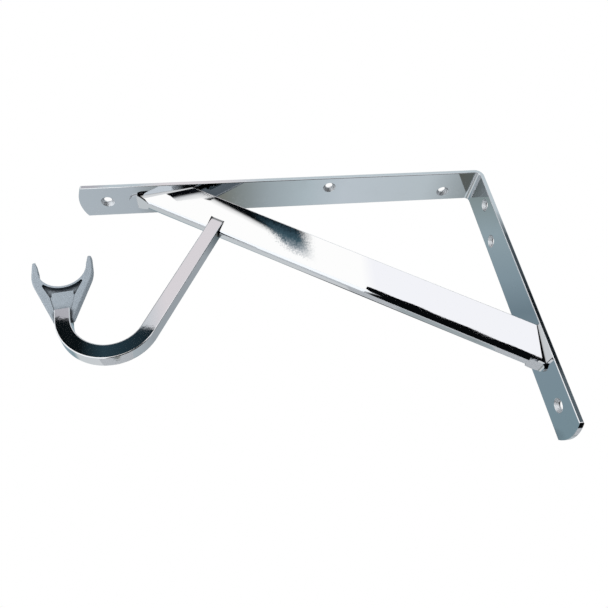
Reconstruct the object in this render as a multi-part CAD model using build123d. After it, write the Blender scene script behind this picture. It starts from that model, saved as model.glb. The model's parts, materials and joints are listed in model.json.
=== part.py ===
from build123d import *
from math import atan2, cos, hypot, pi, radians, sin, sqrt, tan
import os

# Shelf and rod bracket: a bent angle frame, a folded diagonal brace, and a solid bar bent
# to a hook that carries a forked cradle for the hanging rod.
# Millimetres. X points out from the wall, Z up, Y along the wall.
# The origin lies on the wall face, on the axis of the lowest wall screw.

# Flat bar of the angle frame
bar_width = 25.4
bar_thickness = 2.8
bar_edge_round = 0.4
shelf_arm_length = 270.5
wall_arm_length = 188.0
corner_inner_radius = 3.0
arm_end_radius = 27.0
arm_end_corner_radius = 1.2

# Countersunk screw holes: distance from the corner and offset from the centre line.
# The outermost hole of each arm keeps its distance from the arm's end.
screw_hole_diameter = 5.0
countersink_diameter = 8.6
countersink_angle = 90.0
shelf_end_screw_inset = 17.5
wall_end_screw_inset = 18.5
shelf_screws = [(24.5, -4.4), (107.0, 4.4), (shelf_arm_length - shelf_end_screw_inset, 0.0)]
wall_screws = [(25.0, 4.4), (49.5, -4.4), (wall_arm_length - wall_end_screw_inset, 0.0)]

# Folded brace: where the outer face of its web meets each arm, and its trough section
brace_shelf_reach = 236.0
brace_wall_reach = 147.0
brace_gauge = 1.2
brace_web_width = 7.0
brace_mouth_width = 20.2
brace_depth = 20.4
brace_bend_inner_radius = 1.5
brace_lip_round = 0.4

# Rounded tongues at the ends of the brace's web, bent flat against the arms
shelf_tongue_width = 11.4
wall_tongue_width = 9.0
tongue_length = 10.0
shelf_tongue_reach = 3.2
wall_tongue_reach = 1.0
tongue_bend_radius = 2.5

# Hook bar: its section, where its axis crosses the web, its lean from vertical, and its bend
hook_bar_width = 8.6
hook_bar_depth = 9.3
hook_bar_edge_round = 0.6
hook_web_distance = 57.5
hook_lean = 29.1
hook_straight_length = 79.5
hook_centre_radius = 25.1
hook_end_length = 6.9
hook_inside_length = 14.0
slot_side_gap = 0.8

# Tang at the hook's end, pressed into the cradle's block
tang_width = 4.0
tang_thickness = 2.2
tang_length = 9.0

# Rod cradle: a moulded fork in line with the hook's end, its two ears against the bar's sides
rod_diameter = 27.0
rod_clearance = 0.3
cradle_lean = 6.0
cradle_depth = 4.9
cradle_edge_round = 1.1
cradle_side_wall = 3.7
cradle_shoulder_radius = 22.0
flank_angle = 22.0
neck_length = 17.2
ear_length = 6.3
ear_end_thickness = 1.0
ear_tip_radius = 1.2
ear_gap = 0.15
horn_height = 6.2
horn_width = 1.8
horn_spread = 1.3
horn_outer_radius = 1.2
horn_inner_radius = 0.5

# Recess in each face of the cradle: a blind pocket under the saddle, and a block below it
saddle_wall = 1.2
pocket_web = 1.0
pocket_head_inset = 2.0
pocket_head_rise = 2.8
pocket_waist_half_width = 7.1
pocket_waist_height = 10.5
pocket_corner_radius = 0.8
block_half_width = 6.0
block_height = 13.2
block_foot_half_width = 4.6
block_recess = 0.4

# Derived angles, directions and places, measured from the outer corner of the angle frame
cut_margin = 5.0
brace_slope = atan2(brace_wall_reach - bar_thickness, brace_shelf_reach - bar_thickness)
brace_run = hypot(brace_wall_reach - bar_thickness, brace_shelf_reach - bar_thickness)
brace_flare = atan2((brace_mouth_width - brace_web_width) / 2, brace_depth)
flange_wall_across = brace_gauge / cos(brace_flare)
slot_height = (hook_bar_depth - brace_web_width + 2 * flange_wall_across) / 2 / tan(brace_flare)
shelf_root = Vector(brace_shelf_reach, 0, -bar_thickness)
wall_root = Vector(bar_thickness, 0, -brace_wall_reach)
to_wall_end = Vector(-cos(brace_slope), 0, -sin(brace_slope))
to_shelf_end = -to_wall_end

down_hook = Vector(sin(radians(hook_lean)), 0, -cos(radians(hook_lean)))
across_hook = Vector(cos(radians(hook_lean)), 0, sin(radians(hook_lean)))
up_cradle = Vector(sin(radians(cradle_lean)), 0, cos(radians(cradle_lean)))
across_cradle = Vector(cos(radians(cradle_lean)), 0, -sin(radians(cradle_lean)))

hook_crossing = shelf_root + to_wall_end * hook_web_distance
hook_top = hook_crossing - down_hook * hook_inside_length
bend_start = hook_crossing + down_hook * hook_straight_length
bend_centre = bend_start + across_hook * hook_centre_radius
bend_end = bend_centre + across_cradle * hook_centre_radius
bar_end = bend_end + up_cradle * hook_end_length
saddle_radius = rod_diameter / 2 + rod_clearance
bar_end_drop = saddle_radius + neck_length
rod_axis = bar_end + up_cradle * bar_end_drop


def arm_plan(length):
    """Plan of one arm: a strip along X from behind the corner to its bowed end."""
    half = bar_width / 2
    bow = arm_end_radius - sqrt(arm_end_radius**2 - half**2)
    shoulder = length - bow
    outline = [
        Line((-cut_margin, -half), (shoulder, -half)),
        ThreePointArc((shoulder, -half), (length, 0), (shoulder, half)),
        Line((shoulder, half), (-cut_margin, half)),
        Line((-cut_margin, half), (-cut_margin, -half)),
    ]
    strip = make_face(outline)
    corners = strip.vertices().sort_by(Axis.X)[-2:]
    return fillet(corners, arm_end_corner_radius)


def screw_hole(mouth):
    """Cutter for one screw hole. The mouth lies on the inner face and faces the open corner."""
    radius = screw_hole_diameter / 2
    rim = countersink_diameter / 2
    slope = tan(radians(countersink_angle / 2))
    sink = (rim - radius) / slope
    proud = 1.0
    cone = Cone(
        radius, rim + proud * slope, sink + proud, align=(Align.CENTER, Align.CENTER, Align.MIN)
    )
    shank = Cylinder(
        radius, bar_thickness + 2 * proud, align=(Align.CENTER, Align.CENTER, Align.MAX)
    )
    return mouth * (Pos(0, 0, -sink) * cone + Pos(0, 0, proud) * shank)


def is_sharp(edge):
    """True for an edge round a face, false for a seam where a flat runs into a bend."""
    across_bar = edge.geom_type == GeomType.LINE and abs(edge.tangent_at(0.5).Y) > 0.99
    through_bar = edge.length < bar_thickness + 0.01
    return not across_bar and not through_bar


def make_angle_frame():
    side = Polygon(
        (0, 0),
        (shelf_arm_length, 0),
        (shelf_arm_length, -bar_thickness),
        (bar_thickness, -bar_thickness),
        (bar_thickness, -wall_arm_length),
        (0, -wall_arm_length),
        align=None,
    )
    inner = side.vertices().sort_by_distance((bar_thickness, -bar_thickness, 0))[0]
    side = fillet(inner, corner_inner_radius)
    outer = side.vertices().sort_by_distance((0, 0, 0))[0]
    side = fillet(outer, corner_inner_radius + bar_thickness)
    bar = extrude(Plane.XZ * side, bar_width / 2, both=True)
    bar = fillet([edge for edge in bar.edges() if is_sharp(edge)], bar_edge_round)

    below_all = Plane((0, 0, -wall_arm_length - cut_margin))
    shelf_prism = extrude(below_all * arm_plan(shelf_arm_length), wall_arm_length + 2 * cut_margin)
    behind_all = Plane((-cut_margin, 0, 0), x_dir=(0, 0, -1), z_dir=(1, 0, 0))
    wall_prism = extrude(behind_all * arm_plan(wall_arm_length), shelf_arm_length + 2 * cut_margin)
    bar = bar & shelf_prism & wall_prism

    for distance, offset in shelf_screws:
        bar -= screw_hole(Plane((distance, offset, -bar_thickness), z_dir=(0, 0, -1)))
    for distance, offset in wall_screws:
        bar -= screw_hole(Plane((bar_thickness, offset, -distance), z_dir=(1, 0, 0)))
    return bar


def trough_section():
    """Section of the brace: X across the bracket, Y from the web's outer face to the mouth."""
    half_web = brace_web_width / 2
    half_mouth = brace_mouth_width / 2
    outer = Polygon(
        (-half_web, 0), (half_web, 0), (half_mouth, brace_depth), (-half_mouth, brace_depth), align=None
    )
    outer = fillet(outer.vertices().sort_by(Axis.Y)[:2], brace_bend_inner_radius + brace_gauge)

    above_mouth = brace_depth + cut_margin
    inner_foot = half_web + brace_gauge * tan(brace_flare) - flange_wall_across
    inner_head = half_web + above_mouth * tan(brace_flare) - flange_wall_across
    inner = Polygon(
        (-inner_foot, brace_gauge),
        (inner_foot, brace_gauge),
        (inner_head, above_mouth),
        (-inner_head, above_mouth),
        align=None,
    )
    inner = fillet(inner.vertices().sort_by(Axis.Y)[:2], brace_bend_inner_radius)
    section = outer - inner
    return fillet(section.vertices().sort_by(Axis.Y)[-4:], brace_lip_round)


def make_tongue(root, along_arm, off_arm, turn, width, reach):
    """One end of the web, bent flat against an arm.

    It starts at the root, where the web's outer face would meet the arm.
    The turn is the angle between the web and the arm.
    """
    back = tongue_length
    knee = (-brace_gauge / tan(turn), brace_gauge)
    side = Polygon(
        (-back * cos(turn), back * sin(turn)),
        knee,
        (reach, brace_gauge),
        (reach, 0),
        (-brace_gauge / sin(turn), 0),
        (-back * cos(turn) - brace_gauge * sin(turn), back * sin(turn) - brace_gauge * cos(turn)),
        align=None,
    )
    side = fillet(side.vertices().sort_by_distance((*knee, 0))[0], tongue_bend_radius)
    side_plane = Plane(root, x_dir=along_arm, z_dir=along_arm.cross(off_arm))
    plan_plane = Plane(root, x_dir=along_arm, z_dir=off_arm)
    round_end = Pos(reach - width / 2, 0) * Circle(width / 2)
    tail = Pos(-back * cos(turn) - brace_gauge, 0) * Rectangle(
        brace_gauge, brace_web_width - 2 * brace_bend_inner_radius
    )
    plan = make_hull(round_end.edges() + tail.edges())
    strip = extrude(side_plane * side, width / 2, both=True)
    return strip & extrude(plan_plane * plan, 2 * tongue_length, both=True)


def slot_cutter():
    """Slot through the web and into both flanges, its sides along the hook bar."""
    up_web = Vector(-sin(brace_slope), 0, cos(brace_slope))
    rise = -down_hook.dot(up_web)
    drift = -down_hook.dot(to_shelf_end)
    sides = (-hook_bar_width / 2 - slot_side_gap, hook_bar_width / 2)
    levels = (-cut_margin, slot_height)
    (foot_a, foot_b), (head_a, head_b) = [
        [(side / rise + level * drift / rise, level) for side in sides] for level in levels
    ]
    outline = Polygon(foot_a, foot_b, head_b, head_a, align=None)
    plane = Plane(hook_crossing, x_dir=to_shelf_end, z_dir=(0, -1, 0))
    return extrude(plane * outline, brace_mouth_width, both=True)


def make_brace():
    start = Plane(
        wall_root + to_wall_end * cut_margin, x_dir=(0, 1, 0), z_dir=to_shelf_end
    )
    trough = extrude(start * trough_section(), brace_run + 2 * cut_margin)
    open_corner = Pos(bar_thickness, 0, -bar_thickness) * Box(
        shelf_arm_length,
        bar_width,
        wall_arm_length,
        align=(Align.MIN, Align.CENTER, Align.MAX),
    )
    trough &= open_corner
    shelf_tongue = make_tongue(
        shelf_root,
        Vector(1, 0, 0),
        Vector(0, 0, -1),
        brace_slope,
        shelf_tongue_width,
        shelf_tongue_reach,
    )
    wall_tongue = make_tongue(
        wall_root,
        Vector(0, 0, -1),
        Vector(1, 0, 0),
        pi / 2 - brace_slope,
        wall_tongue_width,
        wall_tongue_reach,
    )
    return trough + shelf_tongue + wall_tongue - slot_cutter()


def make_tang():
    seat = Plane(bar_end, x_dir=across_cradle, z_dir=up_cradle)
    return seat * Box(
        tang_width, tang_thickness, tang_length, align=(Align.CENTER, Align.CENTER, Align.MIN)
    )


def make_rod_hook():
    bar = RectangleRounded(hook_bar_depth, hook_bar_width, hook_bar_edge_round)
    straight = extrude(
        Plane(hook_top, x_dir=(0, 1, 0), z_dir=down_hook) * bar,
        hook_inside_length + hook_straight_length,
    )
    bend = revolve(
        Plane(bend_start, x_dir=(0, 1, 0), z_dir=down_hook) * bar,
        Axis(bend_centre, (0, -1, 0)),
        180 - hook_lean - cradle_lean,
    )
    rising_end = extrude(Plane(bend_end, x_dir=(0, 1, 0), z_dir=up_cradle) * bar, hook_end_length)
    return straight + bend + rising_end + make_tang()


def fork_outline():
    """Fork without its throat, the rod's axis at the origin and the stem downwards."""
    half_width = saddle_radius + cradle_side_wall
    foot = -bar_end_drop - ear_length
    ear = hook_bar_width / 2 + ear_gap + ear_end_thickness
    shoulder = foot + (half_width - ear) / tan(radians(flank_angle))
    flank = [
        (ear, foot),
        (half_width, shoulder),
        (saddle_radius + horn_spread + horn_width, horn_height),
    ]
    mirrored = [(-x, y) for x, y in reversed(flank)]
    fork = Polygon(*flank, *mirrored, align=None)
    shoulders = [v for v in fork.vertices() if abs(v.Y - shoulder) < 0.01]
    fork = fillet(shoulders, cradle_shoulder_radius)
    fork = fillet(fork.vertices().sort_by(Axis.Y)[:2], ear_tip_radius)
    return fillet(fork.vertices().sort_by(Axis.Y)[-2:], horn_outer_radius)


def throat_outline():
    """Saddle for the rod, widening upwards between the horns, and the room over their tips."""
    above = horn_height + cut_margin
    mouth = saddle_radius + horn_spread
    room = 2 * mouth
    throat = Polygon(
        (-saddle_radius, 0),
        (saddle_radius, 0),
        (mouth, horn_height),
        (room, horn_height),
        (room, above),
        (-room, above),
        (-room, horn_height),
        (-mouth, horn_height),
        align=None,
    )
    lips = [v for v in throat.vertices() if abs(v.Y - horn_height) < 0.01 and abs(v.X) < mouth + 0.01]
    return fillet(lips, horn_inner_radius) + Circle(saddle_radius)


def recess_outlines():
    """Pocket under the saddle, and the shallower panel from its foot down to the bar's end."""
    head = (saddle_radius - pocket_head_inset, pocket_head_rise - saddle_radius)
    waist = (pocket_waist_half_width, pocket_waist_height - bar_end_drop)
    foot = (block_foot_half_width, -bar_end_drop)
    pocket = Polygon(
        (-waist[0], waist[1]), waist, head, (-head[0], head[1]), align=None
    )
    pocket = fillet(pocket.vertices(), pocket_corner_radius)
    panel = Polygon((-foot[0], foot[1]), foot, waist, (-waist[0], waist[1]), align=None)
    return pocket - Circle(saddle_radius + saddle_wall), panel


def make_rod_cradle():
    plane = Plane(rod_axis, x_dir=across_cradle, z_dir=(0, -1, 0))
    fork = extrude(plane * fork_outline(), cradle_depth / 2, both=True)
    rims = fork.faces().sort_by(Axis.Y)
    fork = fillet(rims[0].edges() + rims[-1].edges(), cradle_edge_round)
    fork -= extrude(plane * throat_outline(), cradle_depth, both=True)

    bar_way = Pos(0, -bar_end_drop) * Rectangle(
        hook_bar_width + 2 * ear_gap, 2 * ear_length, align=(Align.CENTER, Align.MAX)
    )
    fork -= extrude(plane * bar_way, cradle_depth, both=True)

    pocket, panel = recess_outlines()
    block = Pos(0, -bar_end_drop) * Rectangle(
        2 * block_half_width, block_height, align=(Align.CENTER, Align.MIN)
    )
    kept_block = extrude(plane * block, cradle_depth / 2 - block_recess, both=True)
    kept_web = extrude(plane * pocket, pocket_web / 2, both=True)
    kept_panel = extrude(plane * panel, cradle_depth / 2 - block_recess, both=True)
    recess = extrude(plane * (pocket + panel), cradle_depth, both=True)
    return fork - (recess - kept_block - kept_web - kept_panel) - make_tang()


# The lowest wall screw sets the origin
origin = Pos(0, 0, wall_screws[-1][0])
parts = {
    "angle_frame": make_angle_frame(),
    "brace": make_brace(),
    "rod_hook": make_rod_hook(),
    "rod_cradle": make_rod_cradle(),
}
os.makedirs("parts", exist_ok=True)
for name, part in parts.items():
    export_step(origin * part, f"parts/{name}.step")
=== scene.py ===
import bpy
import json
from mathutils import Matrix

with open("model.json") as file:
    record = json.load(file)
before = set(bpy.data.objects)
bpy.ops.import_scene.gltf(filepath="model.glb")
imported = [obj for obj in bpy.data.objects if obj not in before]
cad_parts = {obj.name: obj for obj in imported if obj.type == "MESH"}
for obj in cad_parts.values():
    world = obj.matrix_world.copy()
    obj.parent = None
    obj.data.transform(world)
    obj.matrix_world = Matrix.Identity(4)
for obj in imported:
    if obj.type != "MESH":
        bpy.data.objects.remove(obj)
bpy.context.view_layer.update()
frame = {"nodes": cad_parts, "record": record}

import json

import bpy
from mathutils import Matrix, Vector


# Angle frame: one flat steel bar, rolled, sheared to length, pierced and bent once to a
# right angle. Polished, then bright nickel-chrome plated in a bath, so all its faces are
# mirrors, a little wavy from the rolling and softer than the folded sheet of the brace.

def to_linear(hex_code):
    """Linear colour of an sRGB hex value."""
    shares = [int(hex_code[i:i + 2], 16) / 255 for i in (1, 3, 5)]
    curve = [s / 12.92 if s <= 0.04045 else ((s + 0.055) / 1.055) ** 2.4 for s in shares]
    return (*curve, 1.0)


def per_metre(millimetres):
    """Pattern scale for a feature of this size."""
    return 1000.0 / millimetres


def add(tree, kind, settings=None, links=None):
    """One node, with its settings, the values of its sockets and its links.

    A socket goes by its name, or by its number where others of the node share the name.
    """
    node = tree.nodes.new(kind)
    for name, value in (settings or {}).items():
        if isinstance(name, str) and hasattr(node, name):
            setattr(node, name, value)
        else:
            node.inputs[name].default_value = value
    for name, source in (links or {}).items():
        tree.links.new(source, node.inputs[name])
    return node


def new_material(name):
    """Bare material, its node tree, and the place on the piece in metres."""
    material = bpy.data.materials.new(name)
    material.use_nodes = True
    tree = material.node_tree
    tree.nodes.clear()
    place = add(tree, "ShaderNodeTexCoord").outputs["Object"]
    return material, tree, place


# Numbers of the colour sockets of a Mix node: at factor 0, at factor 1, and the outcome
first_colour, second_colour, mixed_colour = 6, 7, 2


def bright_chrome(
    name, wave_mm, wave_depth_mm, peel_depth_mm, clearest, dullest, crevice_shade_mm, sinks=()
):
    """Chrome plate over polished steel: a blue-white mirror, waved by the steel below.

    The peel under the plate tears the edges of reflections. It is drawn at the coarse end
    of its real sizes, so that it shows. The uneven polish leaves a faint film that dulls
    the mirror in patches. Crevices get a painted shade, brownish and dark where little open
    sky reaches them. Polishing doesn't reach into the countersinks, so they stay satin.
    """
    film_mm, film_starts, film_full = 9.0, 0.4, 0.75
    peel_mm = 1.8
    satin, satin_to_mm, mirror_from_mm = 0.5, 4.1, 4.4
    shut, open_enough = 0.3, 0.8
    painted_crevice_shade, unshaded_plate_colour = "#4A3F39", "#C3C7CB"

    material, tree, place = new_material(name)
    film = add(
        tree,
        "ShaderNodeTexNoise",
        {"Scale": per_metre(film_mm), "Detail": 4.0},
        {"Vector": place},
    )
    gloss = add(
        tree,
        "ShaderNodeMapRange",
        {"From Min": film_starts, "From Max": film_full, "To Min": clearest, "To Max": dullest},
        {"Value": film.outputs["Fac"]},
    )
    roughness = gloss.outputs["Result"]
    for centre in sinks:
        away = add(
            tree, "ShaderNodeVectorMath", {"operation": "DISTANCE", 1: centre}, {0: place}
        )
        unpolished = add(
            tree,
            "ShaderNodeMapRange",
            {
                "From Min": satin_to_mm / 1000,
                "From Max": mirror_from_mm / 1000,
                "To Min": satin,
                "To Max": 0.0,
            },
            {"Value": away.outputs["Value"]},
        )
        duller = add(
            tree,
            "ShaderNodeMath",
            {"operation": "MAXIMUM"},
            {0: roughness, 1: unpolished.outputs["Result"]},
        )
        roughness = duller.outputs["Value"]
    waves = add(
        tree,
        "ShaderNodeTexNoise",
        {"Scale": per_metre(wave_mm), "Detail": 1.0},
        {"Vector": place},
    )
    peel = add(
        tree,
        "ShaderNodeTexNoise",
        {"Scale": per_metre(peel_mm), "Detail": 2.0},
        {"Vector": place},
    )
    height = add(
        tree,
        "ShaderNodeMath",
        {"operation": "MULTIPLY_ADD", 1: peel_depth_mm / wave_depth_mm},
        {0: peel.outputs["Fac"], 2: waves.outputs["Fac"]},
    )
    relief = add(
        tree,
        "ShaderNodeBump",
        {"Strength": 1.0, "Distance": wave_depth_mm / 1000},
        {"Height": height.outputs["Value"]},
    )
    # Painted shade: the plate's colour darkens to a brownish grey in crevices, where little open
    # sky reaches.
    crevice_shade = add(
        tree, "ShaderNodeAmbientOcclusion", {"samples": 8, "Distance": crevice_shade_mm / 1000}
    )
    crevice_unshaded_share = add(
        tree,
        "ShaderNodeMapRange",
        {"From Min": shut, "From Max": open_enough},
        {"Value": crevice_shade.outputs["AO"]},
    )
    plate = add(
        tree,
        "ShaderNodeMix",
        {
            "data_type": "RGBA",
            first_colour: to_linear(painted_crevice_shade),
            second_colour: to_linear(unshaded_plate_colour),
        },
        {"Factor": crevice_unshaded_share.outputs["Result"]},
    )
    shader = add(
        tree,
        "ShaderNodeBsdfPrincipled",
        {"Metallic": 1.0},
        {
            "Base Color": plate.outputs[mixed_colour],
            "Roughness": roughness,
            "Normal": relief.outputs["Normal"],
        },
    )
    add(tree, "ShaderNodeOutputMaterial", links={"Surface": shader.outputs["BSDF"]})
    return material


def finish_node(node, material):
    """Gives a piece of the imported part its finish."""
    piece = frame["nodes"][node]
    piece.data.materials.clear()
    piece.data.materials.append(material)


# The countersinks open on the inner face, the bar's thickness in from where each screw leaves
bar_thickness = 2.8 / 1000
screws = [mount for mount in frame["record"]["mounts"] if mount["kind"] == "bore"]
sinks = [Vector(m["pos_m"]) - Vector(m["axis"]) * bar_thickness for m in screws]
finish_node(
    "angle_frame",
    bright_chrome(
        "chrome_on_rolled_bar",
        wave_mm=14.0,
        wave_depth_mm=0.02,
        peel_depth_mm=0.002,
        clearest=0.03,
        dullest=0.12,
        crevice_shade_mm=0.4,
        sinks=sinks,
    ),
)


# Brace: one piece of steel sheet, blanked and folded to a trough whose web curls round at
# both ends and is spot welded to the arms. The same plate on smoother sheet mirrors sharply.

finish_node(
    "brace",
    bright_chrome(
        "chrome_on_folded_sheet",
        wave_mm=30.0,
        wave_depth_mm=0.03,
        peel_depth_mm=0.0006,
        clearest=0.01,
        dullest=0.03,
        crevice_shade_mm=2.0,
    ),
)


# Hook: a length of rectangular drawn bar, bent to a J and pushed into the brace's slot.
# The same plate, over drawn steel with short, shallow waves and a little more peel.

finish_node(
    "rod_hook",
    bright_chrome(
        "chrome_on_drawn_bar",
        wave_mm=10.0,
        wave_depth_mm=0.008,
        peel_depth_mm=0.005,
        clearest=0.03,
        dullest=0.05,
        crevice_shade_mm=2.0,
    ),
)


# Cradle: one grey fork, moulded in a tough plastic such as ABS and pressed on the hook's
# end. The mould leaves a fine satin texture.

def moulded_abs():
    """Grey ABS with its mould's grain: satin grey, with painted shade near black in pockets.

    The pigment clouds the grey a little. The real grain is about 0.1 mm and is drawn at
    0.35 mm, so that it shows.
    """
    cloud_mm, grain_mm, grain_depth_mm = 6.0, 0.35, 0.03
    pocket_shade_mm, shut, open_enough, pocket_light = 6.0, 0.6, 0.95, 0.05
    darker_grey, lighter_grey, painted_pocket_shade = "#828E98", "#919CA5", "#1B2833"

    material, tree, place = new_material("moulded_grey_abs")
    cloud = add(
        tree,
        "ShaderNodeTexNoise",
        {"Scale": per_metre(cloud_mm), "Detail": 4.0},
        {"Vector": place},
    )
    grey = add(
        tree,
        "ShaderNodeMix",
        {
            "data_type": "RGBA",
            first_colour: to_linear(darker_grey),
            second_colour: to_linear(lighter_grey),
        },
        {"Factor": cloud.outputs["Fac"]},
    )
    # Painted shade: the grey darkens to near black where little open sky reaches into the
    # pockets.
    pocket_shade = add(
        tree, "ShaderNodeAmbientOcclusion", {"samples": 16, "Distance": pocket_shade_mm / 1000}
    )
    pocket_unshaded_share = add(
        tree,
        "ShaderNodeMapRange",
        {"From Min": shut, "From Max": open_enough, "To Min": pocket_light, "To Max": 1.0},
        {"Value": pocket_shade.outputs["AO"]},
    )
    tone = add(
        tree,
        "ShaderNodeMix",
        {"data_type": "RGBA", first_colour: to_linear(painted_pocket_shade)},
        {"Factor": pocket_unshaded_share.outputs["Result"], second_colour: grey.outputs[mixed_colour]},
    )
    grain = add(
        tree,
        "ShaderNodeTexNoise",
        {"Scale": per_metre(grain_mm), "Detail": 2.0},
        {"Vector": place},
    )
    relief = add(
        tree,
        "ShaderNodeBump",
        {"Strength": 0.2, "Distance": grain_depth_mm / 1000},
        {"Height": grain.outputs["Fac"]},
    )
    shader = add(
        tree,
        "ShaderNodeBsdfPrincipled",
        {"Roughness": 0.42, "IOR": 1.53},
        {"Base Color": tone.outputs[mixed_colour], "Normal": relief.outputs["Normal"]},
    )
    add(tree, "ShaderNodeOutputMaterial", links={"Surface": shader.outputs["BSDF"]})
    return material


finish_node("rod_cradle", moulded_abs())


# Studio floor: a pale board well below the bracket, painted matt. It has no gloss, so it
# shows nothing but the bracket's soft shadow.

def panel(name, corners):
    """Flat board from its corners, taken in turn."""
    mesh = bpy.data.meshes.new(name)
    mesh.from_pydata([Vector(corner) for corner in corners], [], [range(len(corners))])
    board = bpy.data.objects.new(name, mesh)
    bpy.context.scene.collection.objects.link(board)
    return board


def lying(x0, x1, y0, y1, z):
    """Corners of a board that lies flat."""
    return [(x0, y0, z), (x1, y0, z), (x1, y1, z), (x0, y1, z)]


floor_height, floor_reach = -0.21, 3
floor = panel("floor", lying(-floor_reach, floor_reach, -floor_reach, floor_reach, floor_height))
paint, tree, place = new_material("pale_matt_paint")
shader = add(
    tree, "ShaderNodeBsdfPrincipled", {"Base Color": to_linear("#E9EAEC"), "Roughness": 0.8}
)
add(tree, "ShaderNodeOutputMaterial", links={"Surface": shader.outputs["BSDF"]})
floor.data.materials.append(paint)


# Cards in front of the bracket: lit cloth and board on stands, which only mirrors see. The
# white ones make the plate's broad bright faces. The dark flags, the band, the cloud and the
# patch draw the black and teal areas on the hook and on the near flange of the brace.

def upright(x0, x1, y, z0, z1):
    """Corners of a board that stands parallel to the flanges of the brace."""
    return [(x0, y, z0), (x1, y, z0), (x1, y, z1), (x0, y, z1)]


def sideways(x, y0, y1, z0, z1):
    """Corners of a board that stands parallel to the wall."""
    return [(x, y0, z0), (x, y1, z0), (x, y1, z1), (x, y0, z1)]


def lit_card(name, corners, direction, tones, strength=1.0, fades=(), mottle_mm=0.0):
    """Card that only mirrors see. Its tones run along a direction: metres, hex code, cover.

    Each fade is a direction and the two places between which the cover comes in. A mottle
    tears the tones like a cloud, by up to five times its size either way.
    """
    card = panel(name, corners)
    material, tree, place = new_material(name)
    if mottle_mm:
        cloud = add(
            tree,
            "ShaderNodeTexNoise",
            {"Scale": per_metre(mottle_mm), "Detail": 4.0},
            {"Vector": place},
        )
        shift = add(
            tree,
            "ShaderNodeVectorMath",
            {"operation": "SUBTRACT", 1: (0.5, 0.5, 0.5)},
            {0: cloud.outputs["Color"]},
        )
        torn = add(
            tree,
            "ShaderNodeVectorMath",
            {"operation": "MULTIPLY_ADD", 1: [10 * mottle_mm / 1000] * 3},
            {0: shift.outputs["Vector"], 2: place},
        )
        place = torn.outputs["Vector"]
    start, end = tones[0][0], tones[-1][0]
    reach = add(
        tree, "ShaderNodeVectorMath", {"operation": "DOT_PRODUCT", 1: direction}, {0: place}
    )
    along = add(
        tree,
        "ShaderNodeMapRange",
        {"From Min": start, "From Max": end},
        {"Value": reach.outputs["Value"]},
    )
    ramp = add(tree, "ShaderNodeValToRGB", links={"Fac": along.outputs["Result"]})
    stops = ramp.color_ramp.elements
    while len(stops) < len(tones):
        stops.new(0.5)
    for stop, (position, hex_code, cover) in zip(stops, tones):
        stop.position = (position - start) / (end - start)
        stop.color = (*to_linear(hex_code)[:3], cover)
    cover = ramp.outputs["Alpha"]
    for way, clear_at, full_at in fades:
        reach = add(
            tree, "ShaderNodeVectorMath", {"operation": "DOT_PRODUCT", 1: way}, {0: place}
        )
        fade = add(
            tree,
            "ShaderNodeMapRange",
            {"interpolation_type": "SMOOTHSTEP", "From Min": clear_at, "From Max": full_at},
            {"Value": reach.outputs["Value"]},
        )
        faded = add(
            tree,
            "ShaderNodeMath",
            {"operation": "MULTIPLY"},
            {0: cover, 1: fade.outputs["Result"]},
        )
        cover = faded.outputs["Value"]
    clear = add(tree, "ShaderNodeBsdfTransparent")
    glow = add(
        tree, "ShaderNodeEmission", {"Strength": strength}, {"Color": ramp.outputs["Color"]}
    )
    surface = add(
        tree,
        "ShaderNodeMixShader",
        links={"Fac": cover, 1: clear.outputs["BSDF"], 2: glow.outputs["Emission"]},
    )
    add(tree, "ShaderNodeOutputMaterial", links={"Surface": surface.outputs["Shader"]})
    card.data.materials.append(material)
    card.visible_camera = False
    card.visible_shadow = False
    card.visible_diffuse = False


outward, upward = (1, 0, 0), (0, 0, 1)

lit_card(
    "front_softbox",
    upright(-0.6, 1.4, 0.75, -0.2, 1.3),
    outward,
    [(-0.6, "#F4F0F0", 1), (0.128, "#F4F0F0", 1), (0.15, "#FFFAF5", 1), (1.4, "#FFFAF5", 1)],
    strength=1.8,
)
lit_card(
    "upper_grey_card",
    upright(-0.6, 1.2, 0.7, 0.46, 1.1),
    outward,
    [(-0.6, "#DCE5E8", 1), (0.08, "#DCE5E8", 1), (0.16, "#FFF5F5", 1), (0.3, "#FFF5F5", 1),
     (0.36, "#DCE5E8", 1), (0.42, "#DCE5E8", 1), (0.45, "#CDC9CD", 1), (1.2, "#CDC9CD", 1)],
    strength=1.23,
)
lit_card(
    "dark_flag_for_hook",
    [(0.2, 0.6, 0.22), (0.4, 0.6, 0.34), (0.5, 0.6, 0.345), (0.5, 0.6, 0.459),
     (0.2, 0.6, 0.395)],
    outward,
    [(0.2, "#15181A", 0), (0.24, "#15181A", 1), (0.31, "#1E2C33", 1), (0.39, "#344C57", 1),
     (0.43, "#10181B", 1), (0.5, "#0C1214", 1)],
)

across_band = (-0.5954, 0, 0.8035)
lit_card(
    "dark_band_for_brace",
    [(0.23, 0.6, 0.18), (0.26, 0.6, 0.19), (0.41, 0.6, 0.315), (0.41, 0.6, 0.335),
     (0.4, 0.6, 0.34), (0.2, 0.6, 0.22)],
    across_band,
    [(0.009, "#6E7880", 0), (0.0145, "#4A545C", 0.3), (0.0185, "#0C1013", 1),
     (0.05, "#05080A", 1)],
    fades=[(outward, 0.235, 0.262)],
)

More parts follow.
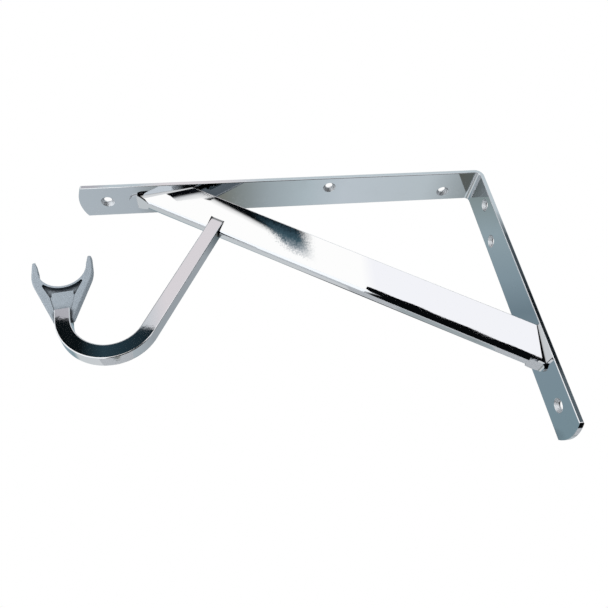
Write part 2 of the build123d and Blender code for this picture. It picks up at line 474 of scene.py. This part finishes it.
across_cloud, off_cloud_tip = (-0.521, 0, 0.853), (-0.832, 0, 0.555)
lit_card(
    "dark_cloud_for_brace",
    upright(0.2, 0.31, 0.598, 0.15, 0.27),
    across_cloud,
    [(0.023, "#B0BCC4", 0), (0.028, "#A8B2BC", 0.4), (0.037, "#7C909C", 0.85),
     (0.046, "#54707C", 1), (0.056, "#3A525E", 1), (0.064, "#141E24", 1)],
    fades=[(outward, 0.208, 0.236), (off_cloud_tip, -0.114, -0.1)],
    mottle_mm=2.5,
)
lit_card(
    "dark_patch_for_brace_tip",
    [(0.365, 0.6, 0.297), (0.376, 0.6, 0.2935), (0.39, 0.6, 0.3), (0.436, 0.6, 0.304),
     (0.446, 0.6, 0.3155), (0.4588, 0.6, 0.325), (0.4588, 0.6, 0.342), (0.395, 0.6, 0.337)],
    upward,
    [(0.29, "#0A0C10", 1), (0.2965, "#0A0C10", 1), (0.3, "#8A94A0", 0.1),
     (0.308, "#7C8794", 0.4), (0.3125, "#0A0C10", 1), (0.345, "#0A0C10", 1)],
)
lit_card(
    "left_dark_flag",
    upright(-0.6, -0.25, 0.6, 0.08, 0.63),
    upward,
    [(0.08, "#6E7A80", 1), (0.25, "#6E7A80", 1), (0.28, "#1C2428", 1), (0.42, "#1C2428", 1),
     (0.48, "#4E585E", 1), (0.57, "#5E686E", 1), (0.63, "#8A9499", 0)],
)
lit_card(
    "low_dark_flag",
    [(-0.34, 0.6, -0.19), (0.31, 0.6, -0.19), (0.135, 0.6, 0.105), (0.13, 0.6, 0.102)],
    outward,
    [(-0.34, "#0C0E10", 1), (0.31, "#0C0E10", 1)],
)
lit_card(
    "floor_dark_flag",
    lying(-0.5, 0.3, -0.1, 0.6, -0.19),
    outward,
    [(-0.5, "#0C0E10", 1), (0.285, "#0C0E10", 1), (0.3, "#0C0E10", 0)],
)
lit_card(
    "floor_white_card",
    lying(0.3, 1.3, -0.05, 0.7, -0.195),
    outward,
    [(0.3, "#FFFFFF", 1), (1.3, "#FFFFFF", 1)],
    strength=1.7,
)
lit_card(
    "ceiling_dark_flag",
    lying(0.45, 1.3, -0.5, 0.55, 1.1),
    outward,
    [(0.45, "#3A4246", 0), (0.55, "#3A4246", 1), (1.3, "#3A4246", 1)],
)
lit_card(
    "wall_side_dark_flag",
    sideways(-0.7, 0.06, 0.6, -0.15, 0.35),
    upward,
    [(-0.15, "#2A3236", 1), (0.35, "#2A3236", 1)],
)
lit_card(
    "side_softbox",
    sideways(1.1, -0.5, 0.9, -0.2, 1.0),
    upward,
    [(-0.2, "#FFFFFF", 1), (1.0, "#FFFFFF", 1)],
    strength=1.5,
)


# Cards behind and below the bracket: painted boards. Blue-grey ones tint the wall arm's inner
# face and the hook's flank, a dark one draws the far edge of the brace's web, a grey one dulls
# the web's lower stretch, and a strip on the floor colours the shelf arm's underside.

lit_card(
    "back_card_behind_wall_arm",
    upright(0.22, 1.0, -0.55, -0.2, 1.2),
    upward,
    [(-0.2, "#FFFFFF", 1), (0.05, "#F0F4F4", 1), (0.13, "#98B0B8", 1), (0.27, "#9EB2BC", 1),
     (0.37, "#8A9EA8", 1), (0.44, "#A3B7C0", 1), (0.55, "#B5C7CD", 1), (0.68, "#9DA8A4", 1),
     (0.78, "#A5BEC6", 1)],
)
lit_card(
    "back_card_behind_hook",
    upright(-0.8, 0.22, -0.55, -0.2, 1.2),
    upward,
    [(-0.2, "#D2DADE", 1), (0.1, "#BCC2C6", 1), (0.32, "#BCC2C6", 1), (0.37, "#68767A", 1),
     (1.2, "#68767A", 1)],
)
lit_card(
    "dark_card_behind_brace",
    upright(-0.02, 0.33, -0.549, -0.13, 0.155),
    outward,
    [(-0.02, "#20282C", 0), (0.02, "#20282C", 1), (0.3, "#20282C", 1), (0.33, "#20282C", 0)],
)
lit_card(
    "grey_card_below_brace",
    lying(0.07, 0.16, -0.208, -0.12, -0.05),
    outward,
    [(0.07, "#C7CECF", 0), (0.08, "#C7CECF", 1), (0.15, "#C7CECF", 1), (0.16, "#C7CECF", 0)],
)
lit_card(
    "floor_strip_under_shelf_arm",
    lying(-0.5, 0.6, -0.44, -0.345, -0.2),
    outward,
    [(-0.26, "#A2AAAA", 1), (-0.16, "#E8F0F3", 1), (-0.02, "#F0F7FC", 1), (0.04, "#DDE9ED", 1),
     (0.1, "#C6D0D3", 1), (0.155, "#A0A6A2", 1), (0.195, "#8F8A7B", 1), (0.25, "#949994", 1),
     (0.31, "#D9E0E5", 1), (0.4, "#DDE5EA", 1)],
)


# Light: one round soft lamp high in front, which mirrors don't see, in an even pale room.
# The room is white to the camera, in mirrors and through gaps, and a little dimmer as light
# on matt surfaces, so that a colour renders about as it is written.

key_data = bpy.data.lights.new("key_light", "AREA")
key_data.shape = "DISK"
key_data.size = 0.5
key_data.energy = 6.5
key = bpy.data.objects.new("key_light", key_data)
key_place, key_aim = Vector((0.75, 0.6, 0.75)), Vector((0.2, 0.0, 0.1))
key.matrix_world = Matrix.LocRotScale(
    key_place, (key_place - key_aim).to_track_quat("Z", "Y"), None
)
key.visible_glossy = False
bpy.context.scene.collection.objects.link(key)

light_on_matt, white_when_seen = 0.75, 1.0
world = bpy.data.worlds.new("studio")
bpy.context.scene.world = world
world.use_nodes = True
tree = world.node_tree
tree.nodes.clear()
ray = add(tree, "ShaderNodeLightPath")
seen = add(
    tree,
    "ShaderNodeMath",
    {"operation": "MAXIMUM"},
    {0: ray.outputs["Is Camera Ray"], 1: ray.outputs["Is Glossy Ray"]},
)
seen_or_through = add(
    tree,
    "ShaderNodeMath",
    {"operation": "MAXIMUM"},
    {0: seen.outputs["Value"], 1: ray.outputs["Is Transmission Ray"]},
)
level = add(
    tree,
    "ShaderNodeMapRange",
    {"To Min": light_on_matt, "To Max": white_when_seen},
    {"Value": seen_or_through.outputs["Value"]},
)
room = add(
    tree,
    "ShaderNodeBackground",
    {"Color": to_linear("#FFFFFF")},
    {"Strength": level.outputs["Result"]},
)
add(tree, "ShaderNodeOutputWorld", links={"Surface": room.outputs["Background"]})


# Camera: in front of the bracket and below it, where the photo was taken. Its place, aim
# and lens come from a fit to the straight edges and corners of the arms and the brace.

camera_place = Vector((0.1820, 0.2897, -0.1019))
camera_aim = Vector((0.1271, -0.0543, 0.1119))
camera_up = Vector((-0.06947, 0.53463, 0.84223))
back = (camera_place - camera_aim).normalized()
right = camera_up.cross(back).normalized()
up = back.cross(right)
camera_data = bpy.data.cameras.new("camera")
camera_data.sensor_width = 36.0
camera_data.lens = 34.15
camera_data.clip_start = 0.01
camera = bpy.data.objects.new("camera", camera_data)
camera.matrix_world = Matrix.LocRotScale(
    camera_place, Matrix((right, up, back)).transposed(), None
)
scene = bpy.context.scene
scene.collection.objects.link(camera)
scene.camera = camera
scene.view_settings.view_transform = "Standard"
